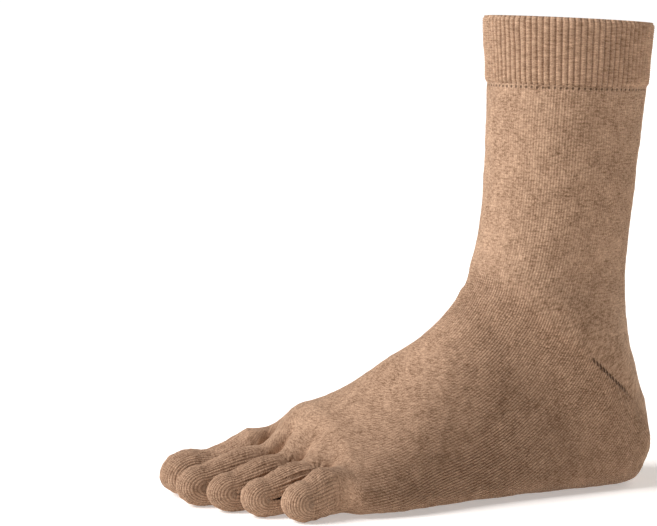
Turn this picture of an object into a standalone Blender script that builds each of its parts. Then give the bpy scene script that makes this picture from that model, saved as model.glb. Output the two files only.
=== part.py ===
"""Toe sock for a left foot, kept in the rounded form that it has when worn.

Metres, +Z up. The toes point to -X, the little toe lies to -Y, the big toe to +Y. The origin is on the
inside of the sole, below the ankle; the outside of the sole is one wall thickness lower.

The sock is one knitted tube. Its rings lie level on the leg, swing round the heel and stand upright on the
foot. Each ring runs from a front point (shin, instep, top of the foot) to a back point (calf, heel, sole).
"""
import bpy
import bmesh
import numpy as np

# Driving sizes
foot_length = 0.252        # back of the heel to the tip of the second toe
foot_width = 0.096         # across the ball of the foot
ankle_height = 0.119       # floor to the bend of the instep
leg_length = 0.087         # bend of the instep to the lower edge of the cuff
cuff_height = 0.0325
leg_depth = 0.091          # shin to calf at the top of the cuff
leg_width = 0.085          # side to side at the top of the cuff
heel_overhang = 0.057      # back of the heel to the origin, along the foot
toe_width = 0.018          # across one of the four small toes
toe_thickness = 0.022      # top to sole of a small toe
web_height = 0.008         # height of the web between two toes
toe_crease = 0.0018        # rise of the sole at the crease between the ball and the toes
knit_wall = 0.0015
cuff_wall = 0.0018
cuff_step = 0.0006         # how far the cuff stands proud of the leg
cuff_lip = 0.0016          # height of the rolled top edge of the cuff
lip_inset = 0.001          # how far the rolled edge draws in
rib_count = 84
rib_height = 0.0006        # ridge to groove of the cuff's ribs
seam_gap = 0.0003          # clearance between neighbouring pieces
toe_gap = 0.0005           # clearance between neighbouring toes at the web

# Colour, roughness and metallic value of each piece
knit_look = {
    "cuff": ((0.50, 0.34, 0.23, 1.0), 0.92, 0.0),
    "leg": ((0.47, 0.31, 0.21, 1.0), 0.92, 0.0),
    "heel": ((0.36, 0.23, 0.15, 1.0), 0.92, 0.0),
    "foot": ((0.44, 0.28, 0.18, 1.0), 0.92, 0.0),
    "toes": ((0.46, 0.29, 0.19, 1.0), 0.92, 0.0),
}

# Rings of the leg, from the top down. Columns: front and back height above the instep bend as shares of the
# leg length, ring centre along the foot as a share of the foot length, then the half depth and half width
# of the ring as shares of the leg's depth and width.
leg_rings = [
    # front_up, back_up, centre, half_depth, half_width
    (1.000, 0.970, 0.196, 0.446, 0.450),
    (0.720, 0.705, 0.203, 0.437, 0.438),
    (0.440, 0.430, 0.210, 0.426, 0.425),
    (0.175, 0.150, 0.220, 0.428, 0.402),
]

# The top ring of the cuff: front and back height above its lower edge as shares of the cuff height, and the
# centre, half depth and half width as in the leg's rings. Its lower ring is the first ring of the leg.
cuff_top = (1.030, 0.900, 0.194, 0.472, 0.474)

# Rings of the ankle, the heel and the foot, down to the ball. Columns: the front point and the back point,
# along the foot as shares of its length and up as shares of the ankle height, then the half width on the
# little toe's side and on the big toe's side as shares of the foot width, the place of the widest point
# between front and back, the roundness of the front half and of the back half, the sideways shift of the
# ridge as a share of the foot width, and the rise of the arch as a share of the ankle height.
foot_rings = [
    # front_along, front_up, back_along, back_up, little, big, widest, front_round, back_round, ridge, arch
    (0.386, 1.000, 0.069, 0.925, 0.345, 0.345, 0.46, 2.1, 1.9, 0.00, 0.00),
    (0.390, 0.972, 0.069, 0.765, 0.355, 0.360, 0.46, 2.1, 1.9, 0.00, 0.00),
    (0.393, 0.953, 0.059, 0.600, 0.375, 0.380, 0.46, 2.0, 1.9, 0.00, 0.00),
    (0.395, 0.940, 0.037, 0.420, 0.378, 0.380, 0.47, 2.0, 2.0, 0.00, 0.00),
    (0.397, 0.929, 0.014, 0.239, 0.370, 0.375, 0.47, 2.0, 2.0, 0.00, 0.00),
    (0.399, 0.915, 0.009, 0.130, 0.358, 0.362, 0.51, 2.1, 2.1, 0.00, 0.00),
    (0.402, 0.898, 0.033, 0.046, 0.352, 0.352, 0.57, 2.2, 2.5, 0.00, 0.00),
    (0.406, 0.880, 0.062, 0.011, 0.345, 0.345, 0.63, 2.3, 3.2, 0.00, 0.00),
    (0.412, 0.858, 0.100, 0.001, 0.340, 0.340, 0.70, 2.4, 3.8, 0.01, 0.00),
    (0.421, 0.825, 0.163, 0.000, 0.338, 0.332, 0.77, 2.3, 4.1, 0.02, 0.00),
    (0.435, 0.784, 0.254, 0.000, 0.350, 0.328, 0.82, 2.2, 4.1, 0.03, 0.02),
    (0.462, 0.722, 0.357, 0.000, 0.375, 0.338, 0.84, 2.05, 4.1, 0.04, 0.06),
    (0.500, 0.657, 0.456, 0.000, 0.410, 0.365, 0.83, 1.95, 4.5, 0.05, 0.09),
    (0.552, 0.581, 0.544, 0.000, 0.455, 0.417, 0.80, 1.9, 4.9, 0.08, 0.08),
    (0.631, 0.460, 0.631, 0.000, 0.500, 0.479, 0.77, 1.9, 5.4, 0.13, 0.03),
    (0.706, 0.385, 0.706, 0.000, 0.495, 0.520, 0.71, 2.0, 5.4, 0.19, 0.00),
    (0.770, 0.362, 0.770, 0.000, 0.472, 0.530, 0.64, 2.1, 5.0, 0.27, 0.00),
]
gore_ring = 4              # the foot ring that the heel starts at, along the gore line
sole_ring = 10             # the foot ring that the heel ends at, under the arch

# The four crotches and the two outer ends of the toe line, from the little toe's side. Columns: along the
# foot as a share of its length, and to the side as a share of the foot width.
toe_line = [
    (0.745, -0.455),
    (0.776, -0.312),
    (0.816, -0.156),
    (0.843, 0.005),
    (0.843, 0.200),
    (0.815, 0.525),
]

# The toes, from the little one. Columns: height of the top at the base as a share of the toe thickness, the
# middle of the round tip along and to the side (shares of foot length and width), its reach forward and its
# half width as shares of the toe width, its thickness as a share of the toe thickness, the height of its
# foremost point as a share of that, the rise of the knuckle between base and tip as a share of the toe
# thickness, and the number of mesh columns.
toes = [
    # name, base_top, tip_along, tip_side, tip_reach, tip_half, tip_thick, nose, knuckle, columns
    ("little_toe", 1.02, 0.815, -0.410, 0.65, 0.460, 0.88, 0.50, 0.07, 6),
    ("fourth_toe", 1.08, 0.872, -0.236, 0.66, 0.433, 0.86, 0.50, 0.07, 6),
    ("third_toe", 1.14, 0.915, -0.063, 0.70, 0.422, 0.88, 0.50, 0.07, 6),
    ("second_toe", 1.18, 0.954, 0.114, 0.74, 0.461, 0.92, 0.50, 0.07, 6),
    ("big_toe", 1.37, 0.943, 0.378, 0.92, 0.780, 1.04, 0.42, -0.17, 8),
]

# Mesh rows of each stretch
leg_rows = 9
heel_rows = 8
foot_rows = 5
forefoot_rows = 4
toe_side_rows = 4
toe_tip_rows = 6
curve_points = 181         # points that a half ring is measured along

floor_up = -knit_wall


def remove_everything():
    for item in list(bpy.data.objects):
        bpy.data.objects.remove(item, do_unlink=True)


def smooth_rows(rows, places, where):
    """Values of a table of rows, read by smooth interpolation at each of the given places."""
    rows = np.array(rows, dtype=float)
    places = np.array(places, dtype=float)
    slopes = np.gradient(rows, places, axis=0)
    found = []
    for place in where:
        low = int(np.clip(np.searchsorted(places, place) - 1, 0, len(places) - 2))
        span = places[low + 1] - places[low]
        t = (place - places[low]) / span
        value = (2 * t**3 - 3 * t**2 + 1) * rows[low] + (3 * t**2 - 2 * t**3) * rows[low + 1]
        value = value + span * ((t**3 - 2 * t**2 + t) * slopes[low] + (t**3 - t**2) * slopes[low + 1])
        found.append(value)
    return np.array(found)


def oval_ring(row, base, height):
    """Values of a ring of the leg or the cuff, whose heights are shares of a height above a base."""
    front_up, back_up, centre, half_depth, half_width = row
    middle = centre * foot_length
    depth = half_depth * leg_depth
    side = half_width * leg_width
    front = (middle + depth, base + front_up * height)
    back = (middle - depth, base + back_up * height)
    return (*front, *back, side, side, 0.5, 2.0, 2.0, 0.0, 0.0)


def ring_table():
    """All rings in metres, each as front point, back point, half widths, widest place, rounds and ridge."""
    table = [oval_ring(row, ankle_height, leg_length) for row in leg_rings]
    for row in foot_rings:
        front_along, front_up, back_along, back_up, little, big, widest, front_n, back_n, ridge, arch = row
        front = (front_along * foot_length, front_up * ankle_height)
        back = (back_along * foot_length, back_up * ankle_height)
        table.append((*front, *back, little * foot_width, big * foot_width,
                      widest, front_n, back_n, ridge * foot_width, arch * ankle_height))
    return np.array(table)


def ring_places(table):
    """Distance of each ring along the tube, halfway between its front and its back."""
    front_steps = np.hypot(*np.diff(table[:, 0:2], axis=0).T)
    back_steps = np.hypot(*np.diff(table[:, 2:4], axis=0).T)
    return np.concatenate([[0.0], np.cumsum(front_steps + back_steps) / 2])


def half_ring(values, shares, front_half):
    """Points of one half of a ring, spaced by their shares of its arc length.

    The front half runs from the little toe's side to the big toe's side, the back half returns.
    """
    front_along, front_up, back_along, back_up, little, big, widest, front_n, back_n, ridge, arch = values
    turn = np.linspace(0.0, np.pi, curve_points)
    power = 2.0 / (front_n if front_half else back_n)
    across = np.sign(np.cos(turn)) * np.abs(np.cos(turn)) ** power
    lift = np.abs(np.sin(turn)) ** power
    side = np.where(across > 0, -across * little, -across * big)
    if front_half:
        share = widest * (1.0 - lift)
        side = side + ridge * lift
    else:
        share = widest + (1.0 - widest) * lift
        side = side[::-1]
    along = front_along + share * (back_along - front_along)
    up = front_up + share * (back_up - front_up)
    if not front_half:
        up = up + arch * np.clip(side / big, 0.0, 1.0) ** 2 * lift
    points = np.stack([heel_overhang - along, side, floor_up + up], axis=1)
    arc = np.concatenate([[0.0], np.cumsum(np.linalg.norm(np.diff(points, axis=0), axis=1))])
    wanted = np.asarray(shares) * arc[-1]
    return np.stack([np.interp(wanted, arc, points[:, axis]) for axis in range(3)], axis=1)


def column_shares():
    """Shares of the columns across the front half: even within each toe, and in all by column count."""
    counts = [toe[-1] for toe in toes]
    return np.arange(sum(counts) + 1) / sum(counts)


def full_ring(values, shares):
    """One closed ring: the front half, then the back half without its two end points."""
    front = half_ring(values, shares, True)
    back = half_ring(values, shares, False)
    return np.concatenate([front, back[1:-1]])


def toe_base(number, angle):
    """Where the toe line crosses one toe at an angle from -90 (little side) to 90 degrees (big side).

    Gives the middle height of the toe there, its half height, the half height of the web beside it,
    and the place along and across the foot.
    """
    low = toe_line[number]
    high = toe_line[number + 1]
    across = 0.5 + 0.5 * np.sin(angle)
    along = (low[0] + (high[0] - low[0]) * across) * foot_length
    side = (low[1] + (high[1] - low[1]) * across) * foot_width
    tops = [toe[1] * toe_thickness for toe in toes]
    neighbour = number + (1 if angle > 0 else -1)
    if not 0 <= neighbour < len(toes):
        neighbour = number
    shared = 0.5 * np.sin(angle) ** 2
    middle = toe_crease + 0.5 * (tops[number] + (tops[neighbour] - tops[number]) * shared)
    web = 0.5 * web_height
    if number == 0:
        web = web * across
    if number == len(toes) - 1:
        web = web * (1.0 - across)
    return along, side, middle, 0.5 * tops[number], web


def toe_line_ring():
    """The scalloped front edge of the foot: one lobe above and below for each toe."""
    top = []
    bottom = []
    for number, toe in enumerate(toes):
        for column in range(toe[-1] + (number == len(toes) - 1)):
            angle = np.pi * (column / toe[-1] - 0.5)
            along, side, middle, half, web = toe_base(number, angle)
            lift = np.sqrt((half**2 - web**2) * np.cos(angle) ** 2 + web**2)
            top.append((heel_overhang - along, side, floor_up + middle + lift))
            bottom.append((heel_overhang - along, side, floor_up + middle - lift))
    return np.array(top + bottom[1:-1][::-1])


def unit(vectors):
    return vectors / np.maximum(np.linalg.norm(vectors, axis=-1, keepdims=True), 1e-12)


def level_with(vectors, axis):
    """The same directions turned square to an axis, so that a wall ends in a flat rim across it."""
    return unit(vectors - np.sum(vectors * axis, axis=-1, keepdims=True) * axis)


def surface_normals(grid, closed):
    """Outward normals of a grid of points, from its neighbours along and across."""
    down = np.gradient(grid, axis=0)
    if closed:
        wide = np.concatenate([grid[:, -1:], grid, grid[:, :1]], axis=1)
        around = (wide[:, 2:] - wide[:, :-2]) / 2
    else:
        around = np.gradient(grid, axis=1)
    normal = np.cross(around, down)
    return unit(normal)


def make_piece(name, layers, faces, collection):
    """An object from rows of points and faces that index them, in one closed skin facing out."""
    mesh = bpy.data.meshes.new(name)
    form = bmesh.new()
    points = [form.verts.new(point) for layer in layers for point in layer.reshape(-1, 3)]
    for corners in faces:
        form.faces.new([points[corner] for corner in corners])
    bmesh.ops.remove_doubles(form, verts=form.verts, dist=0.000001)
    bmesh.ops.recalc_face_normals(form, faces=form.faces)
    form.to_mesh(mesh)
    form.free()
    mesh.shade_smooth()
    piece = bpy.data.objects.new(name, mesh)
    collection.objects.link(piece)
    colour, roughness, metallic = knit_look[name if name in knit_look else "toes"]
    material = bpy.data.materials.new(name + "_knit")
    material.use_nodes = True
    shader = material.node_tree.nodes["Principled BSDF"]
    shader.inputs["Base Color"].default_value = colour
    shader.inputs["Roughness"].default_value = roughness
    shader.inputs["Metallic"].default_value = metallic
    mesh.materials.append(material)
    return piece


def wall_faces(keep, closed, width, offset):
    """Faces of a wall between an outer and an inner grid, over the cells that are kept, and its rims.

    keep is a table of rows and columns of cells; width is the number of points in a row and offset the
    number of points in one grid.
    """
    faces = []
    rows, columns = keep.shape

    def point(row, column, inner):
        return row * width + column % width + (offset if inner else 0)

    def kept(row, column):
        if closed:
            column = column % columns
        return 0 <= row < rows and 0 <= column < columns and keep[row, column]

    for row in range(rows):
        for column in range(columns):
            if not keep[row, column]:
                continue
            corners = [(row, column), (row, column + 1), (row + 1, column + 1), (row + 1, column)]
            faces.append([point(*corner, False) for corner in corners])
            faces.append([point(*corner, True) for corner in corners[::-1]])
            beside = [(row - 1, column), (row, column + 1), (row + 1, column), (row, column - 1)]
            for side, cell in enumerate(beside):
                if not kept(*cell):
                    a = corners[side]
                    b = corners[(side + 1) % 4]
                    faces.append([point(*b, False), point(*a, False), point(*a, True), point(*b, True)])
    return faces


def pulled_in(grid, keep, closed, amount):
    """How far each point of a grid moves so that the kept cells draw back from their open edges."""
    rows, columns = keep.shape
    shift = np.zeros_like(grid)
    width = grid.shape[1]
    for row in range(rows + 1):
        for column in range(width):
            left = (column - 1) % columns if closed else column - 1
            cells = {}
            for down, cell_row in ((-1, row - 1), (1, row)):
                for right, cell_column in ((-1, left), (1, column)):
                    inside = 0 <= cell_row < rows and 0 <= cell_column < columns
                    cells[(down, right)] = bool(inside and keep[cell_row, cell_column])
            here = [key for key, value in cells.items() if value]
            if len(here) in (0, 4):
                continue
            down = sum(key[0] for key in here)
            right = sum(key[1] for key in here)
            if down:
                step = grid[row + (1 if down > 0 else -1), column] - grid[row, column]
                shift[row, column] += amount * step / np.linalg.norm(step)
            if right:
                step = grid[row, (column + (1 if right > 0 else -1)) % width] - grid[row, column]
                shift[row, column] += amount * step / np.linalg.norm(step)
    return shift


def tube_piece(name, grid, normals, keep, collection):
    """A piece of the tube: the kept cells of the closed grid, thickened inwards by the knit's wall."""
    shift = pulled_in(grid, keep, True, 0.5 * seam_gap)
    outer = grid + shift
    inner = outer - knit_wall * normals
    faces = wall_faces(keep, True, grid.shape[1], grid.shape[0] * grid.shape[1])
    used = sorted({corner for face in faces for corner in face})
    index = {corner: place for place, corner in enumerate(used)}
    points = np.concatenate([outer.reshape(-1, 3), inner.reshape(-1, 3)])[used]
    faces = [[index[corner] for corner in face] for face in faces]
    return make_piece(name, [points], faces, collection)


def body_grid():
    """Points of the whole tube, ring by ring, from the cuff's lower edge to the toe line."""
    table = ring_table()
    places = ring_places(table)
    gore = places[len(leg_rings) + gore_ring]
    sole = places[len(leg_rings) + sole_ring]
    ball = places[-2]
    end = places[-1]
    where = np.concatenate([
        np.linspace(places[0], gore, leg_rows + 1),
        np.linspace(gore, sole, heel_rows + 1)[1:],
        np.linspace(sole, ball, foot_rows + 1)[1:],
        np.linspace(ball, end, forefoot_rows + 1)[1:],
    ])
    shares = column_shares()
    rings = [full_ring(values, shares) for values in smooth_rows(table, places, where)]
    last = toe_line_ring()
    first_blend = len(rings) - forefoot_rows - 1
    for number in range(first_blend, len(rings)):
        share = (number - first_blend) / forefoot_rows
        ease = share**2 * (3 - 2 * share)
        along = rings[first_blend][:, 0] * (1 - share) + last[:, 0] * share
        rings[number] = rings[number] * (1 - ease) + last * ease
        rings[number][:, 0] = along
    return np.array(rings)


def build_body(collection):
    grid = body_grid()
    normals = surface_normals(grid, True)
    normals[-1] = level_with(normals[-1], np.array([1.0, 0.0, 0.0]))
    rows = grid.shape[0] - 1
    columns = grid.shape[1]
    front = np.arange(columns) < columns // 2
    keep = np.zeros((rows, columns), dtype=bool)
    keep[:leg_rows] = True
    tube_piece("leg", grid, normals, keep, collection)
    keep[:] = False
    keep[leg_rows:leg_rows + heel_rows, ~front] = True
    tube_piece("heel", grid, normals, keep, collection)
    keep[:] = False
    keep[leg_rows:leg_rows + heel_rows, front] = True
    keep[leg_rows + heel_rows:] = True
    tube_piece("foot", grid, normals, keep, collection)


def build_cuff(collection):
    """The ribbed cuff: as many ridges and grooves as it has ribs, with a rolled top edge."""
    sides = 2 * rib_count
    shares = np.arange(rib_count + 1) / rib_count
    low = np.array(oval_ring(leg_rings[0], ankle_height, leg_length))
    high = np.array(oval_ring(cuff_top, ankle_height + leg_length, cuff_height))
    ridge = np.where(np.arange(sides) % 2 == 0, 0.5, -0.5) * rib_height
    ring_sets = ((0.0, cuff_step), (1.0 - cuff_lip / cuff_height, cuff_step), (1.0, cuff_step - lip_inset))
    outer = []
    inner = []
    for share, proud in ring_sets:
        ring = full_ring(low + (high - low) * share, shares)
        ahead = np.roll(ring, -1, axis=0) - np.roll(ring, 1, axis=0)
        outward = unit(np.stack([-ahead[:, 1], ahead[:, 0], 0 * ahead[:, 0]], axis=1))
        outward = outward * np.sign(np.sum(outward * (ring - ring.mean(axis=0)), axis=1, keepdims=True))
        ring = ring + outward * (ridge + proud)[:, None]
        if not outer:
            ring[:, 2] += 0.5 * seam_gap
        outer.append(ring)
        inner.append(ring - cuff_wall * outward)
    keep = np.ones((len(ring_sets) - 1, sides), dtype=bool)
    faces = wall_faces(keep, True, sides, len(ring_sets) * sides)
    return make_piece("cuff", [np.array(outer), np.array(inner)], faces, collection)


def toe_grid(number):
    """Points over one toe: each column runs along the top, round the tip and back along the sole."""
    tip_along, tip_side, tip_reach, tip_half, tip_thick, nose, knuckle, columns = toes[number][2:]
    tip = np.array([heel_overhang - tip_along * foot_length, tip_side * foot_width,
                    floor_up + nose * tip_thick * toe_thickness])
    reach = tip_reach * toe_width
    half = tip_half * toe_width
    rises = {1.0: (1.0 - nose) * tip_thick * toe_thickness, -1.0: nose * tip_thick * toe_thickness}
    low = np.array(toe_line[number])
    high = np.array(toe_line[number + 1])
    base = 0.5 * (low + high)
    ahead = np.array([tip[0] - (heel_overhang - base[0] * foot_length), tip[1] - base[1] * foot_width, 0.0])
    ahead = unit(ahead)
    sideways = np.array([ahead[1], -ahead[0], 0.0])
    up = np.array([0.0, 0.0, 1.0])
    grid = []
    for column in range(columns + 1):
        angle = np.pi * (column / columns - 0.5)
        along, side, middle, half_base, web = toe_base(number, angle)
        side = side - np.sin(angle) * 0.5 * toe_gap
        path = []
        for sign in (1.0, -1.0):
            height = floor_up + middle + sign * half_base * np.cos(angle)
            start = np.array([heel_overhang - along, side, height]) + ahead * seam_gap
            end = tip + sideways * half * np.sin(angle) + up * sign * rises[sign] * np.cos(angle)
            stretch = []
            for row in range(toe_side_rows):
                share = row / toe_side_rows
                bow = 4 * share * (1 - share) * knuckle * toe_thickness * np.cos(angle) * (sign > 0)
                stretch.append(start + (end - start) * share + up * bow)
            path.append(stretch)
        dome = []
        for row in range(toe_tip_rows + 1):
            turn = np.pi * (0.5 - row / toe_tip_rows)
            rise = rises[1.0 if turn >= 0 else -1.0]
            dome.append(tip + sideways * half * np.sin(angle) + up * rise * np.cos(angle) * np.sin(turn)
                        + ahead * reach * np.cos(angle) * np.cos(turn))
        grid.append(path[0] + dome + path[1][::-1])
    return np.array(grid), ahead, sideways


def build_toe(number, collection):
    grid, ahead, sideways = toe_grid(number)
    normals = -surface_normals(grid, False)
    columns, rows = grid.shape[0] - 1, grid.shape[1] - 1
    normals[0] = -sideways
    normals[-1] = sideways
    normals[:, 0] = level_with(normals[:, 0], ahead)
    normals[:, -1] = level_with(normals[:, -1], ahead)
    inner = grid - knit_wall * normals
    keep = np.ones((columns, rows), dtype=bool)
    width = rows + 1
    faces = []
    offset = grid.shape[0] * width
    for face in wall_faces(keep, False, width, offset):
        outer_ends = {corner % offset // width for corner in face}
        rim = len({corner // offset for corner in face}) == 2
        if rim and len(outer_ends) == 1:
            continue
        faces.append(face)
    return make_piece(toes[number][0], [grid, inner], faces, collection)


def build_sock():
    remove_everything()
    collection = bpy.data.collections.new("toe_sock")
    bpy.context.scene.collection.children.link(collection)
    build_cuff(collection)
    build_body(collection)
    for number in range(len(toes)):
        build_toe(number, collection)


build_sock()
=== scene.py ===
"""Knitted toe sock in its worn form: fine knit laid over the solids of the part, in metres, +Z up."""
import math

import bpy
import numpy as np
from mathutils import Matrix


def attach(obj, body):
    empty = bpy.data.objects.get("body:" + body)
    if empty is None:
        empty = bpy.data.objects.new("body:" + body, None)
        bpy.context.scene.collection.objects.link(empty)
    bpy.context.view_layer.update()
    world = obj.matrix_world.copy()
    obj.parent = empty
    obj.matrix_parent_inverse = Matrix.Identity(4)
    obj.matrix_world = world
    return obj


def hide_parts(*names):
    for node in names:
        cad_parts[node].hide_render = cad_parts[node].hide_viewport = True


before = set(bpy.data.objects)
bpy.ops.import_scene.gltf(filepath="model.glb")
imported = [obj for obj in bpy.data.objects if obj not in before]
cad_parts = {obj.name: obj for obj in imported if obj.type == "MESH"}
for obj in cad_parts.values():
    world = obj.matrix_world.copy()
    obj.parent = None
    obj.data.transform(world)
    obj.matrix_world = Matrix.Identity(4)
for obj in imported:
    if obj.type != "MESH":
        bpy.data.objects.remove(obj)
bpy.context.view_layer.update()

# Sizes of the sock, the same as the part's
foot_length = 0.252
foot_width = 0.096
ankle_height = 0.119
leg_length = 0.087
cuff_height = 0.0325
leg_depth = 0.091
leg_width = 0.085
heel_overhang = 0.057
toe_width = 0.018
toe_thickness = 0.022
web_height = 0.008
toe_round = 0.86           # below 1 the toes are fuller than an ellipse
toe_swell = 0.0004         # how far the sides of a toe swell out between its root and its tip
toe_crease = 0.0018
knit_wall = 0.0015
cuff_wall = 0.0018
cuff_step = 0.0006
rib_count = 84
floor_up = -knit_wall

# Knitting
half_wales = 84            # wales across the front or the back half of the tube
points_per_wale = 4
course_height = 0.00115
leg_relief = 0.00015       # ridge of a wale over its middle height
toe_relief = 0.00017
points_per_rib = 10
rib_relief = 0.00042
rib_stitch = 0.00020

# Rings of the leg: front_up, back_up, centre, half_depth, half_width
leg_rings = [
    (1.000, 0.970, 0.196, 0.446, 0.450),
    (0.720, 0.705, 0.203, 0.437, 0.438),
    (0.440, 0.430, 0.210, 0.426, 0.425),
    (0.175, 0.150, 0.220, 0.428, 0.402),
]
cuff_top = (1.030, 0.900, 0.194, 0.472, 0.474)

# Rings of the foot: front_along, front_up, back_along, back_up, little, big, widest, front_round, back_round,
# ridge, arch
foot_rings = [
    (0.386, 1.000, 0.069, 0.925, 0.345, 0.345, 0.46, 2.1, 1.9, 0.00, 0.00),
    (0.390, 0.972, 0.069, 0.765, 0.355, 0.360, 0.46, 2.1, 1.9, 0.00, 0.00),
    (0.393, 0.953, 0.059, 0.600, 0.375, 0.380, 0.46, 2.0, 1.9, 0.00, 0.00),
    (0.395, 0.940, 0.037, 0.420, 0.378, 0.380, 0.47, 2.0, 2.0, 0.00, 0.00),
    (0.397, 0.929, 0.014, 0.239, 0.370, 0.375, 0.47, 2.0, 2.0, 0.00, 0.00),
    (0.399, 0.915, 0.009, 0.130, 0.358, 0.362, 0.51, 2.1, 2.1, 0.00, 0.00),
    (0.402, 0.898, 0.033, 0.046, 0.352, 0.352, 0.57, 2.2, 2.5, 0.00, 0.00),
    (0.406, 0.880, 0.062, 0.011, 0.345, 0.345, 0.63, 2.3, 3.2, 0.00, 0.00),
    (0.412, 0.858, 0.100, 0.001, 0.340, 0.340, 0.70, 2.4, 3.8, 0.01, 0.00),
    (0.421, 0.825, 0.163, 0.000, 0.338, 0.332, 0.77, 2.3, 4.1, 0.02, 0.00),
    (0.435, 0.784, 0.254, 0.000, 0.350, 0.328, 0.82, 2.2, 4.1, 0.03, 0.02),
    (0.462, 0.722, 0.357, 0.000, 0.375, 0.338, 0.84, 2.05, 4.1, 0.04, 0.06),
    (0.500, 0.657, 0.456, 0.000, 0.410, 0.365, 0.83, 1.95, 4.5, 0.05, 0.09),
    (0.552, 0.581, 0.544, 0.000, 0.455, 0.417, 0.80, 1.9, 4.9, 0.08, 0.08),
    (0.631, 0.460, 0.631, 0.000, 0.500, 0.479, 0.77, 1.9, 5.4, 0.13, 0.03),
    (0.706, 0.385, 0.706, 0.000, 0.495, 0.520, 0.71, 2.0, 5.4, 0.19, 0.00),
    (0.770, 0.362, 0.770, 0.000, 0.472, 0.530, 0.64, 2.1, 5.0, 0.27, 0.00),
]
gore_ring = 4
sole_ring = 10

# Toe line from the little toe's side: along, side
toe_line = [
    (0.745, -0.455),
    (0.776, -0.312),
    (0.816, -0.156),
    (0.843, 0.005),
    (0.843, 0.200),
    (0.815, 0.525),
]

# Toes: name, base_top, tip_along, tip_side, tip_reach, tip_half, tip_thick, nose, knuckle, wales
toes = [
    ("little_toe", 1.02, 0.815, -0.410, 0.65, 0.460, 0.88, 0.50, 0.07, 16),
    ("fourth_toe", 1.08, 0.872, -0.236, 0.66, 0.433, 0.86, 0.50, 0.07, 16),
    ("third_toe", 1.14, 0.915, -0.063, 0.70, 0.422, 0.88, 0.50, 0.07, 16),
    ("second_toe", 1.18, 0.954, 0.114, 0.74, 0.461, 0.92, 0.50, 0.07, 16),
    ("big_toe", 1.37, 0.943, 0.378, 0.92, 0.780, 1.04, 0.42, -0.17, 20),
]

# Rows of points of each stretch
leg_rows = 104
heel_rows = 52
foot_rows = 86
forefoot_rows = 30
toe_side_rows = 26
toe_tip_rows = 34
toe_fine = 1.5             # columns of a toe for each column of the foot that meets it
toe_wales = 1.32           # wales of a toe for each wale of the foot that meets it
cuff_rows = 84
half_columns = half_wales * points_per_wale

# Folds, seams and eyelets
gather_fold = 0.00045      # height of the small folds at the crotches of the toes
gore_middle = (0.0165, -0.0295, 0.0590)
wale_width = 1.5           # from here down in millimetres, as the eyelets are drawn
gore_eyelet_pitch = 2.6
gore_eyelet_size = 0.90
cuff_eyelet_pitch = 3.0
cuff_eyelet_size = 0.62
cuff_eyelet_below = 1.5    # how far the row lies under the cuff's lower edge
far_off = 999.0            # a distance at which no eyelet shows


def soft_step(low, high, value):
    share = np.clip((value - low) / (high - low), 0.0, 1.0)
    return share * share * (3.0 - 2.0 * share)


def unit(vectors):
    return vectors / np.maximum(np.linalg.norm(vectors, axis=-1, keepdims=True), 1e-12)


def soft_noise(points, size, seed):
    """Smooth noise from -1 to 1 at each point, made of a few dozen waves of about the given size."""
    random = np.random.default_rng(seed)
    total = np.zeros(points.shape[:-1])
    for wave in range(24):
        direction = unit(random.normal(size=3))
        turns = (2 * np.pi / size) * random.uniform(0.7, 1.5)
        total = total + np.sin(points @ (direction * turns) + random.uniform(0, 2 * np.pi))
    return total / np.sqrt(24)


def smooth_rows(rows, places, where):
    """Values of a table of rows, read by smooth interpolation at each of the given places."""
    slopes = np.gradient(rows, places, axis=0)
    low = np.clip(np.searchsorted(places, where) - 1, 0, len(places) - 2)
    span = (places[low + 1] - places[low])[:, None]
    t = (np.asarray(where) - places[low])[:, None] / span
    value = (2 * t**3 - 3 * t**2 + 1) * rows[low] + (3 * t**2 - 2 * t**3) * rows[low + 1]
    return value + span * ((t**3 - 2 * t**2 + t) * slopes[low] + (t**3 - t**2) * slopes[low + 1])


def oval_ring(row, base, height):
    front_up, back_up, centre, half_depth, half_width = row
    middle = centre * foot_length
    depth = half_depth * leg_depth
    side = half_width * leg_width
    return (middle + depth, base + front_up * height, middle - depth, base + back_up * height,
            side, side, 0.5, 2.0, 2.0, 0.0, 0.0)


def ring_table():
    table = [oval_ring(row, ankle_height, leg_length) for row in leg_rings]
    for row in foot_rings:
        front_along, front_up, back_along, back_up, little, big, widest, front_n, back_n, ridge, arch = row
        table.append((front_along * foot_length, front_up * ankle_height,
                      back_along * foot_length, back_up * ankle_height,
                      little * foot_width, big * foot_width, widest, front_n, back_n,
                      ridge * foot_width, arch * ankle_height))
    return np.array(table)


def ring_places(table):
    front_steps = np.hypot(*np.diff(table[:, 0:2], axis=0).T)
    back_steps = np.hypot(*np.diff(table[:, 2:4], axis=0).T)
    return np.concatenate([[0.0], np.cumsum(front_steps + back_steps) / 2])


def ring_lengths(ring):
    steps = np.linalg.norm(np.diff(ring, axis=0), axis=1)
    return np.concatenate([[0.0], np.cumsum(steps)])


def half_outline(values, front_half):
    """Points along one half of a ring: the front half runs to the big toe's side, the back half returns."""
    front_along, front_up, back_along, back_up, little, big, widest, front_n, back_n, ridge, arch = values
    turn = np.linspace(0.0, np.pi, 721)
    power = 2.0 / (front_n if front_half else back_n)
    across = np.sign(np.cos(turn)) * np.abs(np.cos(turn)) ** power
    lift = np.abs(np.sin(turn)) ** power
    side = np.where(across > 0, -across * little, -across * big)
    if front_half:
        share = widest * (1.0 - lift)
        side = side + ridge * lift
    else:
        share = widest + (1.0 - widest) * lift
        side = side[::-1]
    along = front_along + share * (back_along - front_along)
    up = front_up + share * (back_up - front_up)
    if not front_half:
        up = up + arch * np.clip(side / big, 0.0, 1.0) ** 2 * lift
    return np.stack([heel_overhang - along, side, floor_up + up], axis=1)


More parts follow.
